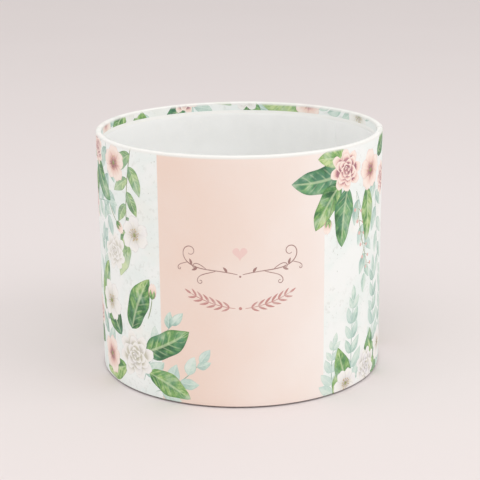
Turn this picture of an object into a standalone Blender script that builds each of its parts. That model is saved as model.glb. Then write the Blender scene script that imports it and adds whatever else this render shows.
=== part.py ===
# Round hatbox, open, without a lid: a rolled greyboard wall and a greyboard base, covered with
# printed paper outside and plain paper inside. Metres, +Z up. The origin is the middle of the
# underside, and the front of the print faces -Y.

import math

import bmesh
import bpy

# Overall sizes
OUTER_DIAMETER = 0.150
HEIGHT = 0.128

# Thicknesses of the boards and papers, and the glue line left between any two of them
WALL_BOARD = 0.0020
BASE_BOARD = 0.0020
WRAP_PAPER = 0.00025
LINING_PAPER = 0.00025
FLOOR_PAPER = 0.00025
COVER_PAPER = 0.00025
TAPE_PAPER = 0.00020
GLUE_GAP = 0.00030

# Wall board: rounded rim, softened foot, butt joint where the strip's ends meet
RIM_EDGE_RADIUS = 0.00055
FOOT_EDGE_RADIUS = 0.00030
JOINT_GAP = 0.00030
JOINT_TURN = math.radians(90)

# Tape over the butt joint
TAPE_WIDTH = 0.024
TAPE_END_MARGIN = 0.006

# Wrap: turned in over the rim, turned under the base, ends overlapped
TURN_IN_COVERED = 0.0056
HEM_WIDTH = 0.012
HEM_NOTCHES = 24
HEM_NOTCH_STOP = 0.0020
WRAP_LAP_WIDTH = 0.010
WRAP_LAP_TURN = math.radians(0)

# Lining: stops below the rim, steps back to the board under the turned-in wrap
LINING_DROP = 0.0064
LINING_STEP_HEIGHT = 0.0012
LINING_CORNER_RADIUS = 0.00080
FLANGE_WIDTH = 0.010
FLANGE_NOTCHES = 24
FLANGE_NOTCH_STOP = 0.0015
LINING_LAP_WIDTH = 0.009
LINING_LAP_TURN = math.radians(44)

# Discs on the floor and under the base
FLOOR_EASE = 0.00060
COVER_MARGIN = 0.0030

# Round pieces are turned in this many facets, arcs in this many steps
TURN_STEPS = 96
LAP_STEPS = 3
TAPE_STEPS = 6
ARC_STEPS = 3
SHARP_ANGLE = math.radians(32)
MERGE_DISTANCE = 0.00001

# Cutters pass each wall by this much, and a lap sinks into its own paper by this share
CUT_OVERRUN = 0.0020
LAP_SINK_SHARE = 0.5

# Radii, from the outside in
WRAP_RADIUS = OUTER_DIAMETER / 2
BOARD_RADIUS = WRAP_RADIUS - WRAP_PAPER - GLUE_GAP
BOARD_BORE = BOARD_RADIUS - WALL_BOARD
TURN_IN_RADIUS = BOARD_BORE - GLUE_GAP
TURN_IN_BORE = TURN_IN_RADIUS - WRAP_PAPER
LINING_TOP_RADIUS = TURN_IN_BORE - GLUE_GAP
LINING_RADIUS = BOARD_BORE - GLUE_GAP
LINING_BORE = LINING_RADIUS - LINING_PAPER
BASE_RADIUS = BOARD_BORE - GLUE_GAP
FLOOR_RADIUS = LINING_BORE - FLOOR_EASE
COVER_RADIUS = WRAP_RADIUS - COVER_MARGIN

# Heights, from the table up
HEM_BOTTOM = COVER_PAPER + GLUE_GAP
BOARD_BOTTOM = HEM_BOTTOM + WRAP_PAPER + GLUE_GAP
BASE_TOP = BOARD_BOTTOM + BASE_BOARD
FLANGE_BOTTOM = BASE_TOP + GLUE_GAP
FLOOR_BOTTOM = FLANGE_BOTTOM + LINING_PAPER + GLUE_GAP
FLOOR_TOP = FLOOR_BOTTOM + FLOOR_PAPER
BOARD_TOP = HEIGHT - WRAP_PAPER - GLUE_GAP
LINING_TOP = HEIGHT - LINING_DROP
TURN_IN_BOTTOM = LINING_TOP - TURN_IN_COVERED
LINING_STEP_TOP = TURN_IN_BOTTOM - GLUE_GAP


def clear_scene():
    for old in list(bpy.data.objects):
        bpy.data.objects.remove(old, do_unlink=True)


def new_collection(name):
    collection = bpy.data.collections.new(name)
    bpy.context.scene.collection.children.link(collection)
    return collection


def new_material(name, colour, roughness):
    material = bpy.data.materials.new(name)
    material.use_nodes = True
    shader = material.node_tree.nodes["Principled BSDF"]
    shader.inputs["Base Color"].default_value = (*colour, 1)
    shader.inputs["Roughness"].default_value = roughness
    shader.inputs["Metallic"].default_value = 0
    material.diffuse_color = (*colour, 1)
    return material


# A quarter of a circle, or any other arc, as (radius, height) points of a profile
def arc(centre_radius, centre_height, radius, start, end):
    points = []
    for step in range(ARC_STEPS + 1):
        angle = math.radians(start + (end - start) * step / ARC_STEPS)
        points.append((centre_radius + radius * math.cos(angle), centre_height + radius * math.sin(angle)))
    return points


# A profile of (radius, height) points turned about the Z axis
def turned(name, collection, profile, closed, angle=math.tau, steps=TURN_STEPS):
    mesh = bpy.data.meshes.new(name)
    edges = [(i, i + 1) for i in range(len(profile) - 1)]
    if closed:
        edges.append((len(profile) - 1, 0))
    mesh.from_pydata([(radius, 0, height) for radius, height in profile], edges, [])
    obj = bpy.data.objects.new(name, mesh)
    collection.objects.link(obj)
    screw = obj.modifiers.new("turn", "SCREW")
    screw.axis = "Z"
    screw.angle = angle
    screw.steps = steps
    screw.render_steps = steps
    screw.use_merge_vertices = angle == math.tau
    screw.merge_threshold = MERGE_DISTANCE
    return obj


# Gives an open surface its thickness, on the side that it turns its back to
def thicken(obj, thickness):
    solid = obj.modifiers.new("thickness", "SOLIDIFY")
    solid.thickness = thickness
    solid.offset = -1
    solid.use_even_offset = True


def disc(name, collection, radius, bottom, thickness):
    mesh = bpy.data.meshes.new(name)
    shape = bmesh.new()
    bmesh.ops.create_cone(
        shape, cap_ends=True, segments=TURN_STEPS, radius1=radius, radius2=radius, depth=thickness
    )
    shape.to_mesh(mesh)
    shape.free()
    obj = bpy.data.objects.new(name, mesh)
    obj.location.z = bottom + thickness / 2
    collection.objects.link(obj)
    return obj


def cut(obj, cutter):
    step = obj.modifiers.new(cutter.name, "BOOLEAN")
    step.operation = "DIFFERENCE"
    step.solver = "EXACT"
    step.object = cutter


# A lap runs almost parallel to the paper that it joins, which the exact solver can leave open
def join_lap(obj, lap):
    step = obj.modifiers.new(lap.name, "BOOLEAN")
    step.operation = "UNION"
    step.solver = "MANIFOLD"
    step.object = lap


def make_cutter(obj):
    obj.hide_render = True
    obj.display_type = "WIRE"


# A ring of V-shaped cutters for a paper edge that is turned flat: they take away the spare length
# of its inner edge, so that the tabs between them lie side by side
def notch_cutters(name, collection, point_radius, edge_radius, flat_height, count):
    reach = edge_radius - CUT_OVERRUN
    half_spare = math.pi * (point_radius - reach) / count
    outline = bpy.data.curves.new(name, "CURVE")
    outline.dimensions = "2D"
    outline.fill_mode = "BOTH"
    outline.extrude = CUT_OVERRUN / 2
    for index in range(count):
        middle = math.tau * (index + 0.5) / count
        notch = outline.splines.new("POLY")
        notch.points.add(2)
        notch.use_cyclic_u = True
        corners = [(point_radius, 0), (reach, half_spare), (reach, -half_spare)]
        for point, (along, across) in zip(notch.points, corners):
            x = along * math.cos(middle) - across * math.sin(middle)
            y = along * math.sin(middle) + across * math.cos(middle)
            point.co = (x, y, 0, 1)
    guide = bpy.data.objects.new(name, outline)
    guide.location.z = flat_height
    collection.objects.link(guide)
    bpy.context.view_layer.update()
    graph = bpy.context.evaluated_depsgraph_get()
    mesh = bpy.data.meshes.new_from_object(guide.evaluated_get(graph))
    place = guide.matrix_world.copy()
    bpy.data.objects.remove(guide)

    welded = bmesh.new()
    welded.from_mesh(mesh)
    bmesh.ops.remove_doubles(welded, verts=welded.verts, dist=MERGE_DISTANCE)
    bmesh.ops.recalc_face_normals(welded, faces=welded.faces)
    welded.to_mesh(mesh)
    welded.free()
    obj = bpy.data.objects.new(name, mesh)
    obj.matrix_world = place
    collection.objects.link(obj)
    make_cutter(obj)
    return obj


# Applies the modifiers, so that round faces shade smooth and cut edges stay crisp
def finish(obj, material):
    graph = bpy.context.evaluated_depsgraph_get()
    mesh = bpy.data.meshes.new_from_object(obj.evaluated_get(graph))
    mesh.name = obj.name
    obj.modifiers.clear()
    obj.data = mesh
    mesh.shade_smooth()
    mesh.set_sharp_from_angle(angle=SHARP_ANGLE)
    mesh.materials.clear()
    mesh.materials.append(material)


# The wrap's outer face, raised by a lift for the lap: up the inside, over the rim, down the wall
def wrap_face(start_height, end_height, lift=0):
    edge = min(RIM_EDGE_RADIUS, WALL_BOARD / 2) + GLUE_GAP + WRAP_PAPER
    crown = HEIGHT - edge
    points = [(TURN_IN_BORE - lift, start_height)]
    points += arc(TURN_IN_BORE + edge, crown, edge + lift, 180, 90)
    points += arc(WRAP_RADIUS - edge, crown, edge + lift, 90, 0)
    points.append((WRAP_RADIUS + lift, end_height))
    return points


def build_wall_board(parts, cutters):
    rim = min(RIM_EDGE_RADIUS, WALL_BOARD / 2)
    foot = min(FOOT_EDGE_RADIUS, WALL_BOARD / 2)
    profile = arc(BOARD_RADIUS - rim, BOARD_TOP - rim, rim, 90, 0)
    profile += arc(BOARD_RADIUS - foot, BOARD_BOTTOM + foot, foot, 0, -90)
    profile += [(BOARD_BORE, BOARD_BOTTOM)]
    profile += arc(BOARD_BORE + rim, BOARD_TOP - rim, rim, 180, 90)
    board = turned("wall_board", parts, profile, closed=True)

    slot = bpy.data.meshes.new("joint_slot")
    shape = bmesh.new()
    bmesh.ops.create_cube(shape, size=1)
    depth = WALL_BOARD + 2 * CUT_OVERRUN
    tall = BOARD_TOP - BOARD_BOTTOM + 2 * CUT_OVERRUN
    bmesh.ops.scale(shape, vec=(depth, JOINT_GAP, tall), verts=shape.verts)
    middle = (BOARD_BORE + WALL_BOARD / 2, 0, (BOARD_TOP + BOARD_BOTTOM) / 2)
    bmesh.ops.translate(shape, vec=middle, verts=shape.verts)
    shape.to_mesh(slot)
    shape.free()
    cutter = bpy.data.objects.new("joint_slot", slot)
    cutters.objects.link(cutter)
    cutter.rotation_euler.z = JOINT_TURN
    make_cutter(cutter)
    cut(board, cutter)

    deep = BOARD_BORE + TAPE_PAPER + GLUE_GAP
    top = BOARD_TOP - TAPE_END_MARGIN + GLUE_GAP
    clear = BOARD_BORE - CUT_OVERRUN
    low = BOARD_BOTTOM - CUT_OVERRUN
    span = (TAPE_WIDTH + 2 * GLUE_GAP) / BOARD_BORE
    face = [(deep, top), (deep, low)]
    recess = turned("tape_recess", cutters, face, closed=False, angle=span, steps=TAPE_STEPS)
    thicken(recess, deep - clear)
    recess.rotation_euler.z = JOINT_TURN - span / 2
    make_cutter(recess)
    cut(board, recess)
    return board


def build_joint_tape(parts):
    outside = BOARD_BORE + TAPE_PAPER
    face = [(outside, BOARD_TOP - TAPE_END_MARGIN), (outside, BOARD_BOTTOM)]
    span = TAPE_WIDTH / BOARD_BORE
    tape = turned("wall_joint_tape", parts, face, closed=False, angle=span, steps=TAPE_STEPS)
    thicken(tape, TAPE_PAPER)
    tape.rotation_euler.z = JOINT_TURN - span / 2
    return tape


def build_wrap(parts, cutters):
    foot = min(FOOT_EDGE_RADIUS, WALL_BOARD / 2) + GLUE_GAP + WRAP_PAPER
    foot_arc = arc(WRAP_RADIUS - foot, HEM_BOTTOM + foot, foot, 0, -90)
    profile = wrap_face(TURN_IN_BOTTOM, HEM_BOTTOM + foot)[:-1] + foot_arc
    hem_edge = WRAP_RADIUS - foot - HEM_WIDTH
    profile.append((hem_edge, HEM_BOTTOM))
    wrap = turned("outer_wrap", parts, profile, closed=False)
    thicken(wrap, WRAP_PAPER)

    point = WRAP_RADIUS - foot - HEM_NOTCH_STOP
    notches = notch_cutters("hem_notches", cutters, point, hem_edge, HEM_BOTTOM, HEM_NOTCHES)
    cut(wrap, notches)

    sink = WRAP_PAPER * LAP_SINK_SHARE
    face = wrap_face(LINING_TOP + GLUE_GAP, HEM_BOTTOM + foot, WRAP_PAPER)
    span = WRAP_LAP_WIDTH / WRAP_RADIUS
    lap = turned("wrap_lap", cutters, face, closed=False, angle=span, steps=LAP_STEPS)
    thicken(lap, WRAP_PAPER + sink)
    lap.rotation_euler.z = WRAP_LAP_TURN - span / 2
    make_cutter(lap)
    join_lap(wrap, lap)
    return wrap


# The lining's inner face, raised by a lift for the lap: down the turned-in wrap, back to the board
def lining_face(end_height, lift=0):
    step_bottom = LINING_STEP_TOP - LINING_STEP_HEIGHT
    top_bore = LINING_TOP_RADIUS - LINING_PAPER - lift
    bore = LINING_BORE - lift
    return [(bore, end_height), (bore, step_bottom), (top_bore, LINING_STEP_TOP), (top_bore, LINING_TOP)]


def build_lining(parts, cutters):
    corner = LINING_CORNER_RADIUS
    flat = FLANGE_BOTTOM + LINING_PAPER
    flange_edge = LINING_BORE - corner - FLANGE_WIDTH
    profile = [(flange_edge, flat)]
    profile += arc(LINING_BORE - corner, flat + corner, corner, -90, 0)
    profile += lining_face(flat + corner)[1:]
    lining = turned("wall_lining", parts, profile, closed=False)
    thicken(lining, LINING_PAPER)

    point = LINING_BORE - corner - FLANGE_NOTCH_STOP
    notches = notch_cutters("flange_notches", cutters, point, flange_edge, flat, FLANGE_NOTCHES)
    cut(lining, notches)

    sink = LINING_PAPER * LAP_SINK_SHARE
    face = lining_face(max(FLOOR_TOP, flat + corner) + GLUE_GAP, LINING_PAPER)
    span = LINING_LAP_WIDTH / LINING_BORE
    lap = turned("lining_lap", cutters, face, closed=False, angle=span, steps=LAP_STEPS)
    thicken(lap, LINING_PAPER + sink)
    lap.rotation_euler.z = LINING_LAP_TURN - span / 2
    make_cutter(lap)
    join_lap(lining, lap)
    return lining


def build_hatbox():
    clear_scene()
    parts = new_collection("hatbox")
    cutters = new_collection("hatbox_cutters")

    printed = new_material("printed_wrap_paper", (0.80, 0.78, 0.74), 0.48)
    plain = new_material("white_lining_paper", (0.76, 0.77, 0.74), 0.72)
    floor = new_material("white_floor_paper", (0.76, 0.77, 0.74), 0.72)
    cover = new_material("white_cover_paper", (0.74, 0.73, 0.69), 0.70)
    greyboard = new_material("wall_greyboard", (0.33, 0.30, 0.26), 0.85)
    base_grey = new_material("base_greyboard", (0.33, 0.30, 0.26), 0.85)
    kraft = new_material("kraft_tape", (0.36, 0.22, 0.11), 0.65)

    pieces = [
        (build_wall_board(parts, cutters), greyboard),
        (build_joint_tape(parts), kraft),
        (disc("base_board", parts, BASE_RADIUS, BOARD_BOTTOM, BASE_BOARD), base_grey),
        (build_wrap(parts, cutters), printed),
        (build_lining(parts, cutters), plain),
        (disc("floor_lining", parts, FLOOR_RADIUS, FLOOR_BOTTOM, FLOOR_PAPER), floor),
        (disc("base_cover", parts, COVER_RADIUS, 0, COVER_PAPER), cover),
    ]
    for piece, material in pieces:
        finish(piece, material)


build_hatbox()
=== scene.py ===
import math

import bmesh
import bpy
import numpy as np
from mathutils import Matrix, Vector


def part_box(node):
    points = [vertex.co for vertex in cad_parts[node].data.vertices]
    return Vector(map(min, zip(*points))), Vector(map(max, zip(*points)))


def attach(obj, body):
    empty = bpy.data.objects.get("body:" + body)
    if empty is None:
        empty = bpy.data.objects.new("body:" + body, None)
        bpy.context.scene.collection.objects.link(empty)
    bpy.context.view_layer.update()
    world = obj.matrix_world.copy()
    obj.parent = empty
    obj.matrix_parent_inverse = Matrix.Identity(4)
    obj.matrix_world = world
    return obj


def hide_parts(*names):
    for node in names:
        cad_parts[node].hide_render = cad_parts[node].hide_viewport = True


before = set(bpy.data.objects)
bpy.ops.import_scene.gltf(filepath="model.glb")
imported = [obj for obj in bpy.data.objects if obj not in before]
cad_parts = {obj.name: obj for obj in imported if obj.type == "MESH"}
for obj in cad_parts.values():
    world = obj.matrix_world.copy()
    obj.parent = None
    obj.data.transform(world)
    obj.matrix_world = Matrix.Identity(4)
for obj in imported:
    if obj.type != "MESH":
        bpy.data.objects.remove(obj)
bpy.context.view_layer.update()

mm = 0.001


# Colours are given as 0-255 screen values, and the shaders need them linear
def ink(red, green, blue):
    screen = np.array([red, green, blue]) / 255
    linear = np.where(screen <= 0.04045, screen / 12.92, ((screen + 0.055) / 1.055) ** 2.4)
    return (*linear.tolist(), 1.0)


# Shader maths as plain expressions: each operator on a Value adds its Math node
class Value:
    def __init__(self, paint, socket):
        self.paint, self.socket = paint, socket

    def calc(self, operation, *operands):
        return self.paint.node("ShaderNodeMath", {"operation": operation}, dict(enumerate(operands)))[0]

    # 0 below low, 1 above high and smooth between, both counted from start; low may be above high
    def fade(self, low, high, start=0.0):
        low, high = low + start, high + start
        limits = {"Value": self, "From Min": low, "From Max": high}
        if low > high:
            limits = {"Value": 0 - self, "From Min": -low, "From Max": -high}
        return self.paint.node("ShaderNodeMapRange", {"interpolation_type": "SMOOTHSTEP"}, limits)[0]


operations = {
    "__add__": "ADD", "__sub__": "SUBTRACT", "__mul__": "MULTIPLY", "__truediv__": "DIVIDE",
    "__pow__": "POWER", "__gt__": "GREATER_THAN", "__abs__": "ABSOLUTE",
    "atLeast": "MAXIMUM", "atMost": "MINIMUM", "fraction": "FRACT",
}
for name, operation in operations.items():
    setattr(Value, name, lambda *operands, kind=operation: operands[0].calc(kind, *operands))
# Sums, differences and products also work with a number on the left
for name in ("add", "sub", "mul"):
    kind = operations[f"__{name}__"]
    setattr(Value, f"__r{name}__", lambda right, left, kind=kind: right.calc(kind, left, right))


# A ramp's stops are pairs of a position from 0 to 1 and a colour
def fillRamp(elements, stops):
    while len(elements) < len(stops):
        elements.new(1.0)
    for element, (stop, colour) in zip(elements, stops):
        element.position, element.color = stop, colour


# One material: its node tree, its Principled shader, and the colour that its coats build up
class Paint:
    def __init__(self, name, colour=None):
        self.material = bpy.data.materials.new(name)
        self.material.use_nodes = True
        self.tree, self.colour = self.material.node_tree, colour
        self.shader = self.tree.nodes["Principled BSDF"]

    def feed(self, target, name, value):
        if isinstance(value, Value):
            self.tree.links.new(value.socket, target.inputs[name])
        else:
            target.inputs[name].default_value = value

    # Adds any node: settings or a ramp's stops first, then each input's value or link; returns its outputs
    def node(self, kind, settings, inputs):
        made = self.tree.nodes.new(kind)
        for name, value in settings.items():
            if name == "stops":
                fillRamp(made.color_ramp.elements, value)
            else:
                setattr(made, name, value)
        for name, value in inputs.items():
            self.feed(made, name, value)
        return [Value(self, output) for output in made.outputs]

    def ramp(self, value, stops):
        return self.node("ShaderNodeValToRGB", {"stops": stops}, {0: value})[0]

    # A point's place on the object, in metres
    def place(self):
        return self.node("ShaderNodeTexCoord", {}, {})[3]

    def split(self, vector):
        return self.node("ShaderNodeSeparateXYZ", {}, {0: vector})

    def join(self, x, y, z):
        return self.node("ShaderNodeCombineXYZ", {}, {0: x, 1: y, 2: z})[0]

    # The three numbers that each point of the mesh carries under a name
    def attribute(self, name):
        return self.split(self.node("ShaderNodeAttribute", {"attribute_name": name}, {})[1])

    def noise(self, scale, detail, vector=None, rough=0.5):
        wanted = {"Vector": vector or self.place(), "Scale": scale, "Detail": detail, "Roughness": rough}
        return self.node("ShaderNodeTexNoise", {}, wanted)[0]

    # Two colours mixed: a Mix node takes them at 6 and 7, and gives its colour at 2
    def mix(self, share, first, second):
        return self.node("ShaderNodeMix", {"data_type": "RGBA"}, {0: share, 6: first, 7: second})[2]

    # Lays a colour over the last by a mask from 0 to 1, and by the most that it may cover
    def coat(self, mask, colour, share=1.0):
        self.colour = self.mix(mask * share, self.colour, colour)

    def finish(self, roughness):
        self.feed(self.shader, "Base Color", self.colour)
        self.feed(self.shader, "Roughness", roughness)

    def bump(self, height, depth, strength):
        wanted = {"Height": height, "Distance": depth, "Strength": strength}
        self.feed(self.shader, "Normal", self.node("ShaderNodeBump", {}, wanted)[0])


# Puts a mesh, lamp or camera into the scene
def addObject(name, data):
    made = bpy.data.objects.new(name, data)
    bpy.context.scene.collection.objects.link(made)
    return made


# Makes a mesh a piece of the box: smooth but for its sharp edges, with its paint, riding on the box's one
# body and standing for the CAD nodes that are named
def addPiece(name, mesh, paint, slotName, *nodes):
    mesh.shade_smooth()
    mesh.set_sharp_from_angle(angle=math.radians(50))
    mesh.materials.append(paint.material)
    piece = addObject(name, mesh)
    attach(piece, "root")
    if nodes:
        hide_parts(*nodes)


print("reading the box's sizes from the frame")
wrapLow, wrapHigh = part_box("outer_wrap")
liningLow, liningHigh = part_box("wall_lining")
floorLow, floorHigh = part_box("floor_lining")
coverLow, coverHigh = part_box("base_cover")

paper = coverHigh.z                                # one sheet's thickness
glue = wrapLow.z - coverHigh.z                     # gap left between glued pieces
inkDepth = 0.12 * mm                               # the print's films lie inside the CAD's outer face
box = {
    "outer": -wrapLow.x - inkDepth,                # the wrap's face, under the print
    "rim": wrapHigh.z - paper - inkDepth,          # top of the rim
    "foot": wrapLow.z,                             # underside of the turned-under hem
    "bore": -liningLow.x - paper + inkDepth,       # inside face of the turned-in wrap
    "footRound": 0.70 * mm,
    "rimRound": 0.95 * mm,
    "turnInEnd": liningHigh.z - 5.6 * mm,          # how far down inside the wrap ends
    "hemEdge": 62 * mm,                            # radius where the hem ends under the base
    "hemRows": 5,                                  # rows of the grid on each stretch of the profile
    "footRows": 8,
    "wallRows": 24,
    "rimRows": 11,
    "turnInRows": 8,
}
around = math.tau * box["outer"]


# Rows of a profile from its radii and heights, where either may be one number
def profileRows(radius, height):
    return np.stack(np.broadcast_arrays(radius, height), 1)


# An arc of a profile about its centre, from one angle to the other in degrees
def arcRows(centre, radius, start, end, rows):
    angle = np.radians(np.linspace(start, end, rows))
    return profileRows(centre[0] + radius * np.cos(angle), centre[1] + radius * np.sin(angle))


# The wrap's face as a path: under the base, round the foot, up the wall, over the rim, down inside
def wrapPath():
    foot, rim = box["footRound"], box["rimRound"]
    crown = box["rim"] - rim
    hem = np.linspace(box["hemEdge"], box["outer"] - foot, box["hemRows"] + 1)[:-1]
    wall = np.linspace(box["foot"] + foot, crown, box["wallRows"] + 2)[1:-1]
    inside = np.linspace(crown, box["turnInEnd"], box["turnInRows"] + 1)[1:]
    return np.concatenate([
        profileRows(hem, box["foot"]),
        arcRows((box["outer"] - foot, box["foot"] + foot), foot, -90, 0, box["footRows"]),
        profileRows(box["outer"], wall),
        arcRows((box["outer"] - rim, crown), rim, 0, 90, box["rimRows"]),
        arcRows((box["bore"] + rim, crown), rim, 90, 180, box["rimRows"]),
        profileRows(box["bore"], inside),
    ])


# Length along a path of (radius, height) rows, and its normals to the right of the way it runs
def measured(path):
    step = np.diff(path, axis=0)
    length = np.concatenate([[0], np.cumsum(np.hypot(step[:, 0], step[:, 1]))])
    slope = np.gradient(path, axis=0)
    normal = np.stack([slope[:, 1], -slope[:, 0]], 1)
    return length, normal / np.linalg.norm(normal, axis=1, keepdims=True)


path = wrapPath()
pathLength, pathNormal = measured(path)
wallStart = box["hemRows"] + box["footRows"] - 1    # the row where the foot's rounding has ended
pathLength += path[wallStart, 1] - pathLength[wallStart]   # so that up the wall it equals the height
sheet = {
    "seam": around * 86.2 / 360,                    # where the sheet's free edge lies, right of the front
    "lapWidth": 9.8 * mm,
    "lapRise": 0.22 * mm,
    "lapSlope": 2.0 * mm,                           # width over which it comes down from the lap
    "rimStart": box["rim"] - box["rimRound"],
    "printEnd": box["rim"] + 6.6 * mm,              # beyond it, inside the rim, the sheet is bare
    "printStart": -0.4 * mm,
    "thickness": 0.16 * mm,
    "lapColumns": 8,                                # columns of the grid on each part of the sheet
    "slopeColumns": 4,
    "wallColumns": 371,
}
sheet["left"] = sheet["seam"] - around
sheet["lapEnd"] = sheet["left"] + sheet["lapWidth"]


# How far the sheet stands off by its own lap: full at the free edge, sloping down to nothing
def lapRise(across):
    return sheet["lapRise"] * np.clip((sheet["lapEnd"] - across) / sheet["lapSlope"], 0, 1)


# Points of a turned shape: x = radius sin turn, y = -radius cos turn, so that turn 0 is the front
def turned(radius, height, turn):
    return np.stack([radius * np.sin(turn), -radius * np.cos(turn), height], -1)


# A place on the flat sheet, across and up it, carried to the box, lifted off the paper's face
def onBox(across, up, lift):
    radius = np.interp(up, pathLength, path[:, 0]) + lift * np.interp(up, pathLength, pathNormal[:, 0])
    height = np.interp(up, pathLength, path[:, 1]) + lift * np.interp(up, pathLength, pathNormal[:, 1])
    return turned(radius, height, across / box["outer"])


# Four-cornered faces of a grid of points whose last column joins its first, and its last row too if closed
def ringFaces(rows, columns, closed):
    row, column = np.arange(rows if closed else rows - 1)[:, None], np.arange(columns)[None, :]
    nextRow, nextColumn = (row + 1) % rows, (column + 1) % columns
    corners = np.broadcast_arrays(row * columns + column, row * columns + nextColumn,
                                  nextRow * columns + nextColumn, nextRow * columns + column)
    return np.stack(corners, -1).reshape(-1, 4)


# Gives a mesh a map by name, from the place of every corner of its faces in turn
def writeMap(mesh, name, places):
    mesh.uv_layers.new(name=name).data.foreach_set("uv", places.reshape(-1).astype(np.float32))


# Rows there and back again: the face of a sheet, then its back
def doubled(rows):
    return np.concatenate([rows, rows[::-1]])


# A mesh from a grid of points that closes on itself both ways, with a flat map of the unrolled sheet
def closedSheet(name, points, across, up):
    mesh = bpy.data.meshes.new(name)
    faces = ringFaces(points.shape[0], points.shape[1] - 1, closed=True)
    mesh.from_pydata(points[:, :-1].reshape(-1, 3), [], faces)
    places = np.stack([across, up], -1)
    after = np.roll(places, -1, 0)
    writeMap(mesh, "sheet", np.stack([places[:, :-1], places[:, 1:], after[:, 1:], after[:, :-1]], 2))
    return mesh


# The paper of the print: white ground, blush panel painted lighter to its right as painted light, a painted
# highlight over the fold at the rim, a painted shadow round the foot, faint spatter. A colour that is laid
# over another has the most that it covers beside it, and scales are those of noise per metre
wrapLook = {
    "ground": ink(245, 249, 247),
    "cool": (ink(230, 243, 239), 0.55),
    "coolScale": 55,
    "warm": (ink(246, 244, 236), 0.5),
    "warmScale": 38,
    "panel": ink(241, 218, 204),
    # Painted light: the panel's lighter colour towards its right side, where the light falls
    "panelPaintedLight": ink(247, 240, 235),
    "panelCentre": 0.9 * mm,
    "panelHalf": 42.7 * mm,
    "panelBlur": 0.18 * mm,
    "panelWander": 0.12 * mm,            # how far its edges wander
    "panelTop": (0.3 * mm, -0.7 * mm),   # where it fades out, from the start of the rim's rounding
    "spatter": (ink(196, 201, 193), 0.55),
    "spatterScale": 520,
    "speckle": (ink(196, 201, 193), 0.24),
    "speckleScale": 430,
    "grain": (ink(240, 240, 236), 0.06),
    "grainScale": 900,
    "margin": ink(252, 252, 249),
    # Painted highlight: the print is painted near white over the rim's fold
    "fold": (ink(240, 240, 236), 0.9),
    "rimHighlightFade": (-1.1 * mm, 0.45 * mm),  # also from the start of the rim's rounding
    # Painted shadow: the print is painted dark where it turns round the foot, as a contact shadow
    "foot": (ink(118, 98, 102), 0.8),
    "footShadowFade": (0.56 * mm, 0.26 * mm),  # up from the underside
    "footShadowEdge": (-2.2 * mm, -0.9 * mm),  # out from the wall's face
    "satin": 0.46,                       # least roughness of paper and inks
    "relief": 0.02 * mm,
}


# Painted light over the print: it is painted near white over the fold of the rim as a painted highlight, and
# painted dark where it turns round the foot, between the wall and the flat of the hem, as a painted shadow:
# radius is sqrt(x^2 + y^2)
def paintRimHighlightAndFootShadow(paint):
    look = wrapLook
    x, y, height = paint.split(paint.place())
    # Painted highlight over the fold of the rim
    paint.coat(height.fade(*look["rimHighlightFade"], sheet["rimStart"]), *look["fold"])
    # Painted shadow round the foot, between the wall and the flat of the hem
    radius = (x * x + y * y) ** 0.5
    foot = height.fade(*look["footShadowFade"], box["foot"]) * radius.fade(*look["footShadowEdge"], box["outer"])
    paint.coat(foot, *look["foot"])


# The ground is mottled cool and warm and spattered. The panel is painted lighter to the right as the share
# of its width to the power 1.5, painted light for the side that the light falls on, and both end at the
# unprinted margin inside the rim
def wrapPaint():
    look, paint = wrapLook, Paint("printedPaper", wrapLook["ground"])
    across, up, _ = paint.split(paint.node("ShaderNodeUVMap", {"uv_map": "sheet"}, {})[0])
    mottle, grain = paint.noise(look["coolScale"], 4), paint.noise(look["grainScale"], 3)
    paint.coat(mottle.fade(0.42, 0.66), *look["cool"])
    paint.coat(paint.noise(look["warmScale"], 3).fade(0.5, 0.72), *look["warm"])
    dots = paint.node("ShaderNodeTexVoronoi", {}, {"Vector": paint.place(), "Scale": look["spatterScale"]})
    chosen = paint.split(dots[1])[0] > 0.72
    paint.coat(dots[0].fade(0.26, 0.14) * chosen * paint.noise(60, 2).fade(0.5, 0.62), *look["spatter"])
    speckle = paint.noise(look["speckleScale"], 2).fade(0.55, 0.68) * paint.noise(50, 2).fade(0.38, 0.58)
    paint.coat(speckle, *look["speckle"])
    half, blur = look["panelHalf"], look["panelBlur"]
    # Painted light: the share of the lighter colour grows to the right, with a little noise
    panelLightShare = (across / (2 * half) + 0.5).atLeast(0) ** 1.5
    panelLightShare = panelLightShare * 0.8 + paint.noise(26, 3).fade(0.3, 0.7) * 0.2
    edge = abs(across - look["panelCentre"]) + (paint.noise(300, 2) - 0.5) * look["panelWander"]
    inPanel = edge.fade(half + blur, half - blur)
    inPanel = inPanel * up.fade(*look["panelTop"], sheet["rimStart"])
    paint.coat(inPanel, paint.mix(panelLightShare, look["panel"], look["panelPaintedLight"]))
    paint.coat(grain.fade(0.35, 0.75), *look["grain"])
    paint.coat(up.fade(0, 0.1 * mm, sheet["printEnd"]), look["margin"])
    paintRimHighlightAndFootShadow(paint)
    paint.finish(look["satin"] + 0.12 * mottle)
    paint.bump(grain + 0.6 * paint.noise(2600, 2), look["relief"], 0.35)
    return paint


# The wrap is one closed thin sheet: its face, then its back, lie on the path, and the lap lifts one end
def makeWrap():
    slopeStart = sheet["lapEnd"] - sheet["lapSlope"]
    columns = np.concatenate([
        [sheet["left"]],
        np.linspace(sheet["left"], slopeStart, sheet["lapColumns"] + 1),
        np.linspace(slopeStart, sheet["lapEnd"], sheet["slopeColumns"] + 1)[1:],
        np.linspace(sheet["lapEnd"], sheet["seam"], sheet["wallColumns"] + 1)[1:],
    ])
    rise = lapRise(columns)
    rise[0] = 0
    across, up = np.meshgrid(columns, doubled(pathLength))
    depth = np.repeat([0, sheet["thickness"]], len(pathLength))[:, None]
    wrap = closedSheet("printedWrap", onBox(across, up, rise - depth), across, up)
    addPiece("printedWrap", wrap, wrapPaint(), "printed_wrap_paper", "outer_wrap")


print("rolling the printed wrap")
makeWrap()


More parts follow.
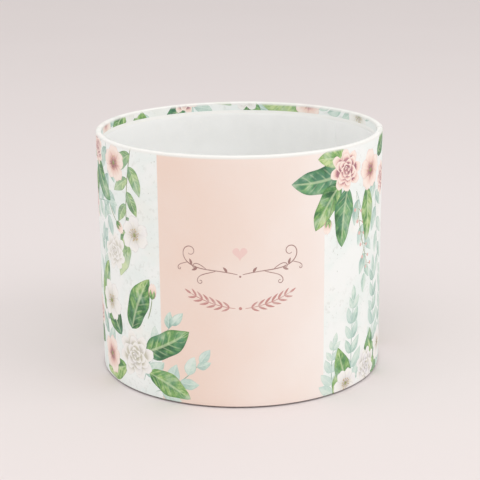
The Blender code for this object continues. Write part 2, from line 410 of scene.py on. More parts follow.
# The print: every leaf, petal and stroke is one patch, a grid of places on the flat sheet in millimetres
# (across from the front's middle, up from the base). Films gather the patches that share an ink
inkPlan = {
    "cell": 1.35,             # longest side of a patch's cells
    "lowest": 0.014,          # how far the lowest film stands off the paper
    "levelStep": 0.0036,      # and each level above it
    "fineShare": 0.12,        # share of that step between patches of one level
    "sunk": 0.03,             # how deep a slip's back lies in the paper
    "relief": 0.01,
    "bakePixels": 1024,       # side of the square map that each ink is baked to
    "bakeGap": 3,             # pixels left free round each patch there
    "bakeGrowth": 1.02,
}
films = {"leaf": [], "spray": [], "petal": [], "paleBloom": [], "stroke": []}
levels = {"spray": 0, "leaf": 7, "petal": 13, "paleBloom": 13}
inks = {
    "stem": ink(128, 148, 92),
    "tealStem": ink(150, 182, 168),
    "hair": ink(158, 122, 98),
    "pollen": ink(196, 164, 96),
    "heart": ink(140, 150, 82),
    "mauve": ink(150, 98, 112),
    "moss": ink(176, 178, 150),
    "berry": ink(230, 190, 182),
    "scroll": ink(164, 128, 122),
    "rose": ink(200, 146, 140),
    "paleHeart": ink(240, 209, 202),
}


# A grid's two coordinates: evenly from start to 1 along it, and from -1 to 1 across it
def gridAxes(rows, columns, start):
    return np.meshgrid(np.linspace(start, 1, rows + 1), np.linspace(-1, 1, columns + 1), indexing="ij")


# Keeps one patch with its own map: along from root to tip 0..1, side -1..1, tone, where its visible part
# starts, how washed out it is and a seed. A grid that faces into the box is turned over
def keepPatch(film, places, tone=0.5, start=0.0, wash=0.0, level=0, seed=0.5, hue=(0, 0, 0)):
    rows, columns = places.shape[:2]
    along, side = gridAxes(rows - 1, columns - 1, 0)
    lengthways = places[-1, columns // 2] - places[0, columns // 2]
    sideways = places[rows // 2, -1] - places[rows // 2, 0]
    if sideways[0] * lengthways[1] < sideways[1] * lengthways[0]:
        places, side = places[:, ::-1], side[:, ::-1]
    length = np.linalg.norm(np.diff(places, axis=0), axis=2).sum(0).max()
    width = np.linalg.norm(np.diff(places, axis=1), axis=2).sum(1).max()
    films[film].append({
        "places": places, "along": along, "side": side, "size": (length, width),
        "values": (tone, start, wash, seed), "level": level, "hue": hue[:3],
    })


# A mark in one flat ink, such as a stem or a dot
def keepMark(places, level, hue):
    keepPatch("stroke", places, level=level, hue=inks[hue])


# How many cells a length is cut into
def cells(length, least, most):
    return int(np.clip(math.ceil(length / inkPlan["cell"]), least, most))


# The unit direction of a heading in degrees, counted from across towards up
def rayOf(heading):
    turn = np.radians(heading)
    return np.stack([np.cos(turn), np.sin(turn)], -1)


# That direction turned a quarter to the left
def leftOf(ray):
    return np.stack([-ray[..., 1], ray[..., 0]], -1)


# A path that starts on a heading, turns evenly by bend, and curls by curl as along^4 towards its end
def bentPath(root, heading, length, bend, curl=0.0, steps=None):
    steps = steps or cells(length, 5, 40)
    along = np.linspace(0, 1, steps + 1)
    headings = heading + bend * along + curl * along ** 4
    ray = rayOf(headings)
    walk = np.concatenate([[[0, 0]], np.cumsum((ray[1:] + ray[:-1]) / 2, 0)])
    return np.asarray(root) + walk * length / steps, headings


# A leaf: its midrib is a bent path, and its half-width goes as along^p (1 - along)^q, 1 at the peak, with
# a ripple
def leafPlaces(root, heading, length, width, bend=0.0, swell=(0.75, 1.0), ripple=0.0, phase=0.0):
    rows, columns = cells(length, 5, 24), 2 * cells(width / 2, 1, 5)
    midrib, headings = bentPath(root, heading, length, bend, steps=rows)
    along, side = np.linspace(0, 1, rows + 1), np.linspace(-1, 1, columns + 1)
    peak = swell[0] / (swell[0] + swell[1])
    swollen = (along / peak) ** swell[0] * ((1 - along) / (1 - peak)) ** swell[1]
    half = width / 2 * swollen * (1 + ripple * np.sin(phase + 11 * along)) + 0.05
    return midrib[:, None] + leftOf(rayOf(headings))[:, None] * (half[:, None] * side)[..., None]


# A petal: half-width goes as along^claw, its corners drop back as side^2.6 and a notch dips its tip
def petalPlaces(root, heading, length, width, plan, lean):
    along, side = gridAxes(cells(length, 4, 10), 2 * cells(width / 2, 2, 5), 0.03)
    sideways = side * width / 2 * along ** plan["claw"] * (1 - 0.2 * along ** 4) + lean * width * along ** 2
    dip = plan["notch"] * np.exp(-((side + 0.15) / 0.3) ** 2) * along ** 5
    forward = length * (along * (1 - plan["rounding"] * np.abs(side) ** 2.6 * along) - dip)
    ray = rayOf(heading)
    return np.asarray(root) + (forward[..., None] * ray + sideways[..., None] * leftOf(ray))


# A dot: a square grid pressed into a disc, each coordinate shortened by the other's square
def dotPlaces(centre, radius, count=3):
    x, y = gridAxes(count, count, -1)
    disc = np.stack([x * np.sqrt(1 - y * y / 2), y * np.sqrt(1 - x * x / 2)], -1)
    return np.asarray(centre) + disc * radius


# A stroke: a path given its width, which tapers at the ends as a power of the sine
def strokePlaces(points, width, taper=0.35, least=0.35):
    slope = np.gradient(points, axis=0)
    slope /= np.linalg.norm(slope, axis=1, keepdims=True)
    share = np.linspace(0, math.pi, len(points))
    half = width / 2 * (least + (1 - least) * np.sin(share) ** taper)
    return points[:, None] + leftOf(slope)[:, None] * (half[:, None] * np.array([-1, 0, 1]))[..., None]


sprigPlan = {
    "stems": {"spray": "tealStem", "leaf": "stem"},
    "stemWidth": 0.5,
    "from": 0.12,             # share of the stem where its leaves start
    "over": 0.80,             # share of it that they take up
    "spread": 52,             # degrees between a leaf and the stem at its root
    "closing": 14,            # and how many of them are lost at the tip
    "sizes": (1.08, 0.45),    # a leaf's size at the root, and how much it loses to the tip
    "tipLeaf": (0.72, 0.66),  # length and width of the one at the end
}


# A sprig: a bent stem, leaves left and right of it that get smaller towards the tip, one at its end
def sprig(root, heading, length, bend, count, leafLength, leafWidth, tone, seed, wash,
          film="spray", paired=False):
    plan = sprigPlan
    draw = np.random.default_rng(seed)
    level = levels[film]
    line, turns = bentPath(root, heading, length, bend)
    keepMark(strokePlaces(line, plan["stemWidth"], 0.5), level, plan["stems"][film])
    for number in range(count):
        share = plan["from"] + plan["over"] * number / max(count - 1, 1)
        where = int(round(share * (len(line) - 1)))
        for hand in ((1, -1) if paired else ((1,) if number % 2 else (-1,))):
            size = (plan["sizes"][0] - plan["sizes"][1] * share) * draw.uniform(0.88, 1.12)
            turn = turns[where] + hand * (plan["spread"] - plan["closing"] * share + draw.uniform(-7, 7))
            places = leafPlaces(line[where], turn, leafLength * size, leafWidth * size,
                                bend=-hand * draw.uniform(4, 30), ripple=0.05, phase=draw.uniform(0, 6))
            keepPatch(film, places, tone + draw.uniform(-0.18, 0.18), wash=wash + draw.uniform(0, 0.15),
                      level=level + 1 + (2 * number + (hand > 0)) % 4, seed=draw.uniform())
    longer, wider = plan["tipLeaf"]
    places = leafPlaces(line[-1], turns[-1], leafLength * longer, leafWidth * wider, draw.uniform(-20, 20))
    keepPatch(film, places, tone + 0.1, wash=wash, level=level + 5, seed=draw.uniform())


# One broad leaf, widest before its middle
def broadLeaf(root, heading, length, width, bend, tone, seed, wash=0.0):
    draw = np.random.default_rng(seed)
    places = leafPlaces(root, heading, length, width, bend, swell=(0.62, 0.85), ripple=0.085,
                        phase=draw.uniform(0, 6))
    keepPatch("leaf", places, tone, wash=wash, level=levels["leaf"] + seed % 6, seed=draw.uniform())


# Stamens: hairs of about one length all round the heart of a flower, each with a dot of pollen
def stamens(centre, reach, count, level, seed):
    draw = np.random.default_rng(seed)
    for number in range(count):
        turn = 360 * (number + draw.uniform(-0.3, 0.3)) / count
        length = reach * draw.uniform(0.76, 1.12)
        points = np.asarray(centre) + np.outer(np.linspace(0.25, 1, 4) * length, rayOf(turn))
        keepMark(strokePlaces(points, 0.22), level, "hair")
        keepMark(dotPlaces(points[-1], 0.34, 2), level + 1, "pollen")


# A ring of petals at even headings, over each other by turns. The flower's plan has their shape, and how
# far they stray in heading, length, lean and tone
def petalRing(film, draw, centre, petals, turn, size, width, plan, tone, start, level, wash=0.0):
    for number in range(petals):
        heading = turn + 360 * number / petals + draw.uniform(-plan["stray"], plan["stray"])
        length = size * 0.5 * draw.uniform(*plan["lengths"])
        places = petalPlaces(centre, heading, length, width, plan, draw.uniform(-plan["lean"], plan["lean"]))
        keepPatch(film, places, tone + draw.uniform(-plan["tones"], plan["tones"]), start, wash,
                  level + number % 3, draw.uniform())


# Lengths in the plans of flowers and buds are in sizes of the plant, and widths of lines in millimetres
rosePlan = {
    "claw": 0.5, "rounding": 0.34, "notch": 0.09,
    "stray": 4, "lengths": (0.92, 1.06), "lean": 0.06, "tones": 0.15,
    "breadth": 2.75,          # of all petals together
    "hidden": 0.12,           # share of a petal that the heart hides
    "heart": 0.055,
    "stamens": (0.155, 13),   # their reach and number
}


# A dog rose: five or six notched petals round a green heart and its stamens
def dogRose(centre, size, turn, tone, seed, film="petal", petals=5):
    plan, draw, level = rosePlan, np.random.default_rng(seed), levels[film]
    petalRing(film, draw, centre, petals, turn, size, size * plan["breadth"] / petals, plan, tone,
              plan["hidden"], level)
    keepMark(dotPlaces(centre, size * plan["heart"]), level + 4, "heart")
    reach, count = plan["stamens"]
    stamens(centre, size * reach, count, level + 3, seed + 50)


camelliaPlan = {
    "claw": 0.6, "rounding": 0.38, "notch": 0.05,
    "stray": 7, "lengths": (0.93, 1.05), "lean": 0.08, "tones": 0.12,
    # Its rings, outermost first: petals, reach, breadth, and the share that the next ring hides
    "rings": ((8, 1.0, 0.70, 0.60), (6, 0.76, 0.60, 0.62), (5, 0.54, 0.52, 0.60), (5, 0.35, 0.34, 0.55),
              (3, 0.19, 0.22, 0.2)),
    "ringTurn": 31,           # what each ring adds to the last one's turn and tone
    "ringTone": 0.12,
    "folds": {"petal": "mauve", "paleBloom": "moss"},
    "foldPlace": 0.055,
    "foldLength": 0.10,
    "foldBend": 75,
    "foldWidth": 0.38,
}


# A camellia: rings of round petals, each ring smaller and above the last, closing on a folded bud
def camellia(centre, size, turn, tone, seed, film="petal", wash=0.0):
    plan, draw, level = camelliaPlan, np.random.default_rng(seed), levels[film]
    for ring, (petals, reach, broad, start) in enumerate(plan["rings"]):
        petalRing(film, draw, centre, petals, turn + plan["ringTurn"] * ring, size * reach,
                  size * 0.5 * broad, plan, tone + plan["ringTone"] * ring, start, level + 3 * ring, wash)
    for heading in (turn, turn + 90, turn + 180, turn + 270):
        start = np.asarray(centre) + size * plan["foldPlace"] * rayOf(heading)
        fold, _ = bentPath(start, heading + 70, size * plan["foldLength"], plan["foldBend"], steps=6)
        keepMark(strokePlaces(fold, plan["foldWidth"]), level + 3 * len(plan["rings"]), plan["folds"][film])


budPlan = {
    "stalkLength": 1.3,
    "stalkBend": 18,
    "stalkWidth": 0.42,
    "petalLean": 13,          # degrees to each side of the stalk's end
    "petalWidth": 0.42,
    "sepalLean": 30,
    "sepalLength": 0.62,
    "sepalWidth": 0.2,
}


# A bud: two petals in a point, held by two sepals on a thin stalk
def bud(root, heading, size, tone):
    plan, level = budPlan, levels["petal"] - 3
    line, turns = bentPath(root, heading, size * plan["stalkLength"], plan["stalkBend"])
    keepMark(strokePlaces(line, plan["stalkWidth"]), level, "stem")
    for hand in (-1, 1):
        lean = hand * plan["petalLean"]
        places = leafPlaces(line[-1], turns[-1] + lean, size, size * plan["petalWidth"], -lean * 1.4,
                            swell=(0.5, 0.6))
        keepPatch("petal", places, tone, 0.2, level=level + 1 + (hand > 0), seed=0.3)
        lean = hand * plan["sepalLean"]
        places = leafPlaces(line[-1], turns[-1] + lean, size * plan["sepalLength"],
                            size * plan["sepalWidth"], -lean * 1.2)
        keepPatch("leaf", places, 0.45, level=level + 3, seed=0.6)


berryPlan = {
    "stemWidth": 0.34,
    "from": 0.15,             # share of the stem where its berries start
    "spread": 42,             # degrees between a stalk and the stem, and how far they stray
    "stray": 9,
    "stalks": (3.0, 4.6),     # least and greatest length of a stalk
    "stalkBend": 12,
    "stalkWidth": 0.26,
    "berries": (0.75, 1.05),  # least and greatest radius
}


# A berry sprig: a hair-thin stem with stalked berries to both sides
def berrySprig(root, heading, length, bend, count, seed):
    plan, draw = berryPlan, np.random.default_rng(seed)
    line, turns = bentPath(root, heading, length, bend)
    keepMark(strokePlaces(line, plan["stemWidth"], 0.5), 5, "stem")
    for number in range(count):
        where = int((plan["from"] + (1 - plan["from"]) * number / count) * (len(line) - 1))
        turn = turns[where] + (1 if number % 2 else -1) * plan["spread"]
        turn = turn + draw.uniform(-plan["stray"], plan["stray"])
        stalk, _ = bentPath(line[where], turn, draw.uniform(*plan["stalks"]), plan["stalkBend"], steps=4)
        keepMark(strokePlaces(stalk, plan["stalkWidth"], 0.5), 5, "stem")
        keepMark(dotPlaces(stalk[-1], draw.uniform(*plan["berries"])), 6, "berry")


# A plant's numbers are its root or centre, then heading, length and bend, or a flower's size and turn, with
# the count and size of its leaves, and last its tone, its seed and how washed out it is
print("painting the front of the sheet")
# Top right: flowers hang in from the rim, with leaves over the corner of the panel
sprig((66, 104), -62, 46, -34, 6, 14.5, 6.8, 0.50, 11, 0.12)
sprig((86, 112), -84, 60, 10, 8, 15, 6.8, 0.42, 12, 0.20)
broadLeaf((56, 115), 193, 31, 14.0, -18, 0.22, 13)
broadLeaf((54, 110), 222, 27, 12.0, 24, 0.50, 14)
broadLeaf((59, 107), 254, 30, 12.5, 16, 0.34, 15)
broadLeaf((76, 104), -80, 28, 11.5, -20, 0.64, 16)
broadLeaf((60, 120), 160, 21, 10.0, 20, 0.72, 17)
broadLeaf((90, 118), 30, 23, 11.0, -12, 0.30, 18)
dogRose((80, 112), 22, 20, 0.25, 19)
camellia((58, 116), 23, 8, 0.50, 20)
camellia((100, 104), 19, 40, 0.75, 21)
bud((50, 103), 240, 8, 0.5)
berrySprig((66, 104), -84, 46, 22, 12, 24)

# Bottom left: a climbing spray in front of white flowers, its leaves over the other corner
sprig((-54, 8), 72, 38, -22, 6, 13.5, 7.0, 0.46, 31, 0.15)
sprig((-46, 4), 20, 32, 34, 5, 13, 7.2, 0.55, 32, 0.20)
sprig((-86, 10), 100, 64, -12, 8, 15, 7.0, 0.40, 33, 0.15)
broadLeaf((-52, 24), 22, 30, 13.5, 16, 0.26, 34)
broadLeaf((-50, 13), -12, 26, 12.0, -20, 0.56, 35)
broadLeaf((-62, 34), 76, 32, 14.0, -22, 0.36, 36)
broadLeaf((-72, 28), 126, 30, 13.5, 22, 0.24, 37)
broadLeaf((-68, 12), 206, 25, 11.5, -14, 0.66, 38)
broadLeaf((-92, 36), 84, 30, 12.5, -18, 0.50, 39)
broadLeaf((-98, 16), 150, 25, 11.5, 12, 0.30, 40)
camellia((-60, 20), 27, 12, 0.30, 41, "paleBloom")
dogRose((-82, 44), 23, 50, 0.35, 42, "paleBloom", 6)
dogRose((-84, 14), 21, 5, 0.60, 43)
camellia((-106, 32), 19, 22, 0.60, 44)
bud((-50, 42), 66, 8.5, 0.35)

# Upper left: one light sprig hangs from the rim beside faint white flowers
sprig((-58, 131), -106, 50, 18, 7, 16, 7.2, 0.50, 51, 0.12, "leaf")
sprig((-84, 131), -76, 54, -30, 7, 15, 7.0, 0.40, 52, 0.15)
dogRose((-58, 84), 20, 30, 0.40, 53, "paleBloom", 6)
camellia((-76, 72), 22, 30, 0.20, 50, "paleBloom", 0.30)
broadLeaf((-62, 78), 236, 20, 9.0, 16, 0.74, 54, 0.30)
broadLeaf((-100, 116), -50, 28, 12.5, 18, 0.34, 55)
dogRose((-74, 118), 20, 14, 0.30, 57)
camellia((-98, 122), 20, 10, 0.45, 56)
bud((-80, 96), -58, 8, 0.5)

# Bottom right: upright fronds behind pale flowers and a few leaves
sprig((64, -3), 94, 50, -10, 6, 12, 5.6, 0.48, 61, 0.18, paired=True)
sprig((84, -3), 82, 60, 12, 7, 13, 5.8, 0.38, 62, 0.18, paired=True)
sprig((102, -3), 98, 48, -18, 6, 13, 5.8, 0.50, 63, 0.18, paired=True)
sprig((51, -3), 106, 30, -30, 5, 9.5, 4.8, 0.58, 64, 0.22, paired=True)
broadLeaf((64, -2), 122, 29, 11.5, -20, 0.46, 65)
broadLeaf((74, -2), 62, 31, 12.5, 20, 0.30, 66)
broadLeaf((52, -3), 70, 20, 10.0, 14, 0.62, 67)
broadLeaf((92, -3), 106, 27, 11.5, 16, 0.50, 71)
camellia((78, 8), 22, 25, 0.90, 68, "paleBloom")
dogRose((98, 14), 20, 0, 0.95, 69, "paleBloom")
dogRose((59, 4), 18, 12, 0.80, 70, "paleBloom", 6)


# The back carries the same plants, drawn by seed: bunches on a staggered lattice, one kind after another
backPlan = {
    "from": 134.0,            # first and last place of the lattice, right of the front's middle
    "to": 364.0,
    "columns": 7,
    "rows": (14.0, 54.0, 92.0, 128.0),
    "jitter": 4.0,
    "flowers": ((camellia, "petal"), (dogRose, "paleBloom", 6), (dogRose, "petal"), (camellia, "paleBloom")),
}


# A bunch: two sprays, two or three broad leaves, and a flower over them, with a bud by the fourth kind
def bunch(across, up, seed):
    draw = np.random.default_rng(seed)
    kind = seed % len(backPlan["flowers"])
    turn = draw.uniform(0, 360)
    for number in range(2):
        heading = turn + 180 * number + draw.uniform(-35, 35)
        sprig((across, up), heading, draw.uniform(28, 38), draw.uniform(-35, 35), 6, 13.5, 6.4,
              draw.uniform(0.35, 0.6), seed * 10 + number, 0.16)
    for number in range(2 + kind % 2):
        heading = turn + 120 * number + draw.uniform(-25, 25)
        root = np.array([across, up]) + 3.5 * rayOf(heading)
        broadLeaf(root, heading, draw.uniform(20, 27), draw.uniform(9.5, 12.5),
                  draw.uniform(-24, 24), draw.uniform(0.25, 0.75), seed * 12 + number)
    size, tone = draw.uniform(19, 23), draw.uniform(0.3, 0.7)
    flower, *rest = backPlan["flowers"][kind]
    flower((across, up), size, turn, tone, seed * 10 + 8, *rest)
    if kind == 3:
        bud((across + 6, up + 4), turn, 8, 0.6)


print("painting the rest of the sheet")
backDraw = np.random.default_rng(7)
columnGap = (backPlan["to"] - backPlan["from"]) / (backPlan["columns"] - 1)
for column in range(backPlan["columns"]):
    for row, rowUp in enumerate(backPlan["rows"]):
        across = backPlan["from"] + columnGap * (column + 0.5 * (row % 2))
        across = across + backDraw.uniform(-1, 1) * backPlan["jitter"]
        up = rowUp + backDraw.uniform(-1, 1) * backPlan["jitter"]
        if across < backPlan["to"]:
            bunch(across - around / mm, up, 100 + 5 * column + 3 * row)


# Scrolls and a laurel pair in fine lines stand at the panel's middle, under a pale heart
ornament = {
    "middle": -0.2,
    "heartUp": 80.4,
    "heartWidth": 7.2,
    "taper": (0.3, 0.4),
    # A line: heading, length, bend, curl, steps and width. Before a curl is the scroll's row that it leaves
    "scroll": (14, 44, -40, 440, 110, 0.48),
    "scrollUp": 71.2,
    "scrollRoot": (1.2, -1.6),                      # from the panel's middle at that height
    "scrollDot": (-2.6, 0.55),                      # height from there and radius
    "curls": ((26, -20, 17.0, 26, -420, 44, 0.42), (38, 38, 11.5, -16, -380, 34, 0.38),
              (64, -18, 9.5, 4, -390, 32, 0.38)),
    "blades": ((13, 58), (50, -56), (58, 60)),      # rows of the scroll that carry a leaf, and its lean
    "blade": (3.3, 1.15),                           # a leaf's length and width
    "laurel": (6, 23.0, 22, 0, 40, 0.38),
    "laurelUp": 52.4,
    "laurelRoot": (2.4, 0),
    "laurelDot": (0, 0.8),
    "laurelPairs": 6,
    "laurelFrom": 0.13,                             # share of the branch before its first pair
    "laurelStep": 0.15,
    "laurelLeaf": (4.8, 0.98),
    "laurelSizes": (0.84, 0.24),                    # a leaf's least size, and what the sine adds to it
    "laurelLean": 46,
    "laurelBend": 26,
    "laurelTip": (4.0, 0.95, 8),                    # length, width and bend of the leaf at the end
}


# A heart: for each place across, from the arc cosine below, a little shortened, to the half circles above,
# raised to lie evenly about its centre. It stops just short of 2 across, where all its rows would meet
def heartPlaces(centre, width):
    turn = np.linspace(-math.pi / 2, math.pi / 2, 25)
    across, up = np.meshgrid(1.998 * np.sin(turn), np.linspace(0, 1, 7), indexing="ij")
    top = np.sqrt(np.maximum(1 - (np.abs(across) - 1) ** 2, 0))
    bottom = (np.arccos(1 - np.abs(across)) - math.pi) * 0.82
    return np.asarray(centre) + np.stack([across, bottom + (top - bottom) * up + 0.45], -1) * width / 4


# A mark on one half of the ornament, or on its mirror image where flip is -1
def halfMark(places, level, hue, flip):
    keepMark(places * (flip, 1) + (ornament["middle"], 0), level, hue)


# A line of one half from a root at a height, with tapered ends. Returns its points and their headings
def halfLine(root, height, line, level, hue, flip):
    *course, width = line
    points, turns = bentPath((root[0], root[1] + height), *course)
    halfMark(strokePlaces(points, width, *ornament["taper"]), level, hue, flip)
    return points, turns


# One half: the scroll with its curls and blades, then the laurel, whose leaves are longest halfway along
# the branch, as a sine
def ornamentHalf(flip):
    plan = ornament
    scroll, turns = halfLine(plan["scrollRoot"], plan["scrollUp"], plan["scroll"], 3, "scroll", flip)
    for number, (where, *line) in enumerate(plan["curls"]):
        halfLine(scroll[where], 0, line, 4 + number, "scroll", flip)
    for where, lean in plan["blades"]:
        blade = leafPlaces(scroll[where], turns[where] + lean, *plan["blade"], -lean * 0.5)
        halfMark(blade, 7, "scroll", flip)
    branch, turns = halfLine(plan["laurelRoot"], plan["laurelUp"], plan["laurel"], 3, "rose", flip)
    (length, width), (least, more) = plan["laurelLeaf"], plan["laurelSizes"]
    for number in range(plan["laurelPairs"]):
        where = int((plan["laurelFrom"] + plan["laurelStep"] * number) * (len(branch) - 1))
        size = least + more * math.sin(math.pi * (number + 1) / (plan["laurelPairs"] + 1))
        for hand in (-1, 1):
            blade = leafPlaces(branch[where], turns[where] + hand * plan["laurelLean"], length * size,
                               width * size, -hand * plan["laurelBend"])
            halfMark(blade, 4 + (hand > 0), "rose", flip)
    halfMark(leafPlaces(branch[-1], turns[-1], *plan["laurelTip"]), 6, "rose", flip)


# A dot at the panel's middle, between the two halves
def middleDot(height, dot, hue):
    raised, radius = dot
    keepMark(dotPlaces((ornament["middle"], height + raised), radius), 8, hue)


print("setting the ornament on the panel")
keepMark(heartPlaces((ornament["middle"], ornament["heartUp"]), ornament["heartWidth"]), 2, "paleHeart")
ornamentHalf(-1)
ornamentHalf(1)
middleDot(ornament["laurelUp"], ornament["laurelDot"], "rose")
middleDot(ornament["scrollUp"], ornament["scrollDot"], "scroll")


# Tells patches of one level apart where their rectangles on the sheet meet, since faces that coincide
# would render black: each takes the lowest fine step that none of those before it holds
def setApart(patches):
    low = np.array([patch["places"].min((0, 1)) for patch in patches])
    high = np.array([patch["places"].max((0, 1)) for patch in patches])
    level = np.array([patch["level"] for patch in patches])
    step = np.zeros(len(patches), int)
    for number, patch in enumerate(patches):
        meets = ((low[:number] < high[number]) & (high[:number] > low[number])).all(1)
        taken = step[:number][meets & (level[:number] == level[number])]
        step[number] = np.setdiff1d(np.arange(len(taken) + 1), taken)[0]
        patch["level"] = level[number] + step[number] * inkPlan["fineShare"]
    print(f"  {len(patches)} patches lie on up to {step.max() + 1} fine steps a level")


# Finds each patch's own rectangle in the square map, tallest first, in rows. The square's side starts at
# the root of the patches' area and grows until they fit
def bakeRows(sizes):
    order = np.argsort(-sizes[:, 1])
    side = math.sqrt(sizes.prod(1).sum())
    while True:
        side *= inkPlan["bakeGrowth"]
        gap = side * inkPlan["bakeGap"] / inkPlan["bakePixels"]
        corner, across, up, tall = np.zeros_like(sizes), gap, gap, 0.0
        for number in order:
            length, width = sizes[number]
            if across + length + gap > side:
                across, up, tall = gap, up + tall + gap, 0.0
            corner[number] = across, up
            across, tall = across + length + gap, max(tall, width)
        if up + tall + gap <= side:
            return corner, side


# Cuts a flat mesh at the sheet's ends and the print's edges, and along every bend that it is pressed over
def cutFlat(mesh):
    flat = bmesh.new()
    flat.from_mesh(mesh)
    ends = [((sheet["seam"], 0, 0), (1, 0, 0)), ((sheet["left"], 0, 0), (-1, 0, 0)),
            ((0, sheet["printEnd"], 0), (0, 1, 0)), ((0, sheet["printStart"], 0), (0, -1, 0))]
    bends = pathLength[(pathLength > sheet["printStart"]) & (pathLength < sheet["printEnd"])]
    bends = bends[(bends < path[wallStart, 1] + 0.1 * mm) | (bends > sheet["rimStart"] - 0.1 * mm)]
    slope = sheet["lapEnd"] - sheet["lapSlope"], sheet["lapEnd"]
    lines = [((0, up, 0), (0, 1, 0)) for up in bends] + [((across, 0, 0), (1, 0, 0)) for across in slope]
    for number, (place, normal) in enumerate(ends + lines):
        bmesh.ops.bisect_plane(flat, geom=flat.verts[:] + flat.edges[:] + flat.faces[:], dist=1e-8,
                               plane_co=place, plane_no=normal, clear_outer=number < len(ends))
    bmesh.ops.triangulate(flat, faces=flat.faces[:])
    flat.to_mesh(mesh)
    flat.free()


# One vector for each point, read from a mesh's data or written to a new attribute
def readVectors(data, name):
    values = np.empty(3 * len(data), np.float32)
    data.foreach_get(name, values)
    return values.reshape(-1, 3).astype(float)


def writeVectors(mesh, name, vectors):
    made = mesh.attributes.new(name, "FLOAT_VECTOR", "POINT")
    made.data.foreach_set("vector", vectors.reshape(-1).astype(np.float32))


# Grids of different sizes as one list of their points
def joined(grids):
    return np.concatenate([grid.reshape(-1, grid.shape[-1]) for grid in grids])


# Lays patches on the flat sheet, each lifted to its level, and cuts them. Returns the points, triangles
# and what each point carries: its place on the blade, the patch's marks and hue, and its place in the map
def layFlat(patches):
    corners, square = bakeRows(np.array([patch["size"] for patch in patches]))
    places, faces, first = [], [], 0
    carried = {"blade": [], "mark": [], "hue": [], "atlas": []}
    for patch, corner in zip(patches, corners):
        along, side, same = patch["along"], patch["side"], np.ones_like(patch["along"])
        index = first + np.arange(along.size).reshape(along.shape)
        first += along.size
        faces.append(np.stack([index[:-1, :-1], index[:-1, 1:], index[1:, 1:], index[1:, :-1]], -1))
        tone, *marks = patch["values"]
        lift = same * (inkPlan["lowest"] + inkPlan["levelStep"] * patch["level"]) * mm
        places.append(np.concatenate([patch["places"] * mm, lift[..., None]], -1))
        carried["blade"].append(np.stack([along, side, same * tone], -1))
        carried["mark"].append(same[..., None] * marks)
        carried["hue"].append(same[..., None] * patch["hue"])
        spot = (np.stack([along, (side + 1) / 2], -1) * patch["size"] + corner) / square
        carried["atlas"].append(np.concatenate([spot, same[..., None]], -1))
    mesh = bpy.data.meshes.new("flatPrint")
    mesh.from_pydata(joined(places), [], joined(faces))
    for label, grids in carried.items():
        writeVectors(mesh, label, joined(grids))
    cutFlat(mesh)
    triangles = np.empty(len(mesh.loops), np.int32)
    mesh.loops.foreach_get("vertex_index", triangles)
    flat = readVectors(mesh.vertices, "co")
    carried = {label: readVectors(mesh.attributes[label].data, "vector") for label in carried}
    bpy.data.meshes.remove(mesh)
    return flat, triangles.reshape(-1, 3).astype(np.int64), carried


# Presses a film's patches onto the box as thin closed slips of ink: the top follows the paper at its
# level, the back lies just inside the paper, and a wall joins them along each edge
def pressFilm(name, patches, paint):
    flat, triangles, carried = layFlat(patches)
    count, rise = len(flat), lapRise(flat[:, 0])
    top = onBox(flat[:, 0], flat[:, 1], flat[:, 2] + rise)
    back = onBox(flat[:, 0], flat[:, 1], rise - inkPlan["sunk"] * mm)
    edges = np.concatenate([triangles[:, [0, 1]], triangles[:, [1, 2]], triangles[:, [2, 0]]])
    free = ~np.isin(edges[:, 0] * count + edges[:, 1], edges[:, 1] * count + edges[:, 0])
    near, far = edges[free].T
    walls = [np.stack([far, near, near + count], 1), np.stack([far, near + count, far + count], 1)]
    corners = np.concatenate([triangles, triangles[:, ::-1] + count, *walls])
    slips = bpy.data.meshes.new(name)
    slips.from_pydata(np.concatenate([top, back]), [], corners)
    writeMap(slips, "OFBake", np.tile(carried.pop("atlas")[:, :2], (2, 1))[corners.reshape(-1)])
    for label, vectors in carried.items():
        writeVectors(slips, label, np.tile(vectors, (2, 1)))
    print(f"  {name}: {len(patches)} patches, {len(corners)} triangles")
    addPiece(name, slips, paint, "printed_wrap_paper")


# Leaf inks run from deep to light along a ramp, pooled at the edge, with pale veins that sweep forward
leafInk = {
    "ramp": ((0.0, ink(48, 96, 62)), (0.3, ink(78, 134, 78)), (0.6, ink(132, 178, 102)),
             (1.0, ink(204, 222, 160))),
    "cool": (ink(104, 164, 134), 0.5),
    "vein": (ink(208, 226, 182), 0.36),
    "edge": (ink(62, 106, 70), 0.42),
    "washed": ink(228, 238, 222),
    "veins": 7.0,
    "brushing": 1.3,
    "tipLift": 0.34,
}
sprayInk = {
    "ramp": ((0.0, ink(118, 164, 152)), (0.3, ink(158, 196, 182)), (0.6, ink(196, 221, 208)),
             (1.0, ink(224, 237, 227))),
    "cool": (ink(176, 208, 206), 0.4),
    "vein": (ink(222, 236, 226), 0.2),
    "edge": (ink(140, 182, 168), 0.45),
    "washed": ink(230, 240, 233),
    "veins": 4.0,
    "brushing": 0.8,
    "tipLift": 0.45,
}
# How far the veins of both sweep forward, in spaces between them, and how strong the midrib is
slant, midribShare = 1.5, 0.55


# Every ink gets the painted highlight at the rim and the painted shadow at the foot, and the paper's satin,
# and its grain roughens it
def finishInk(paint, grain):
    paintRimHighlightAndFootShadow(paint)
    paint.finish(wrapLook["satin"] + 0.10 * grain)
    return paint


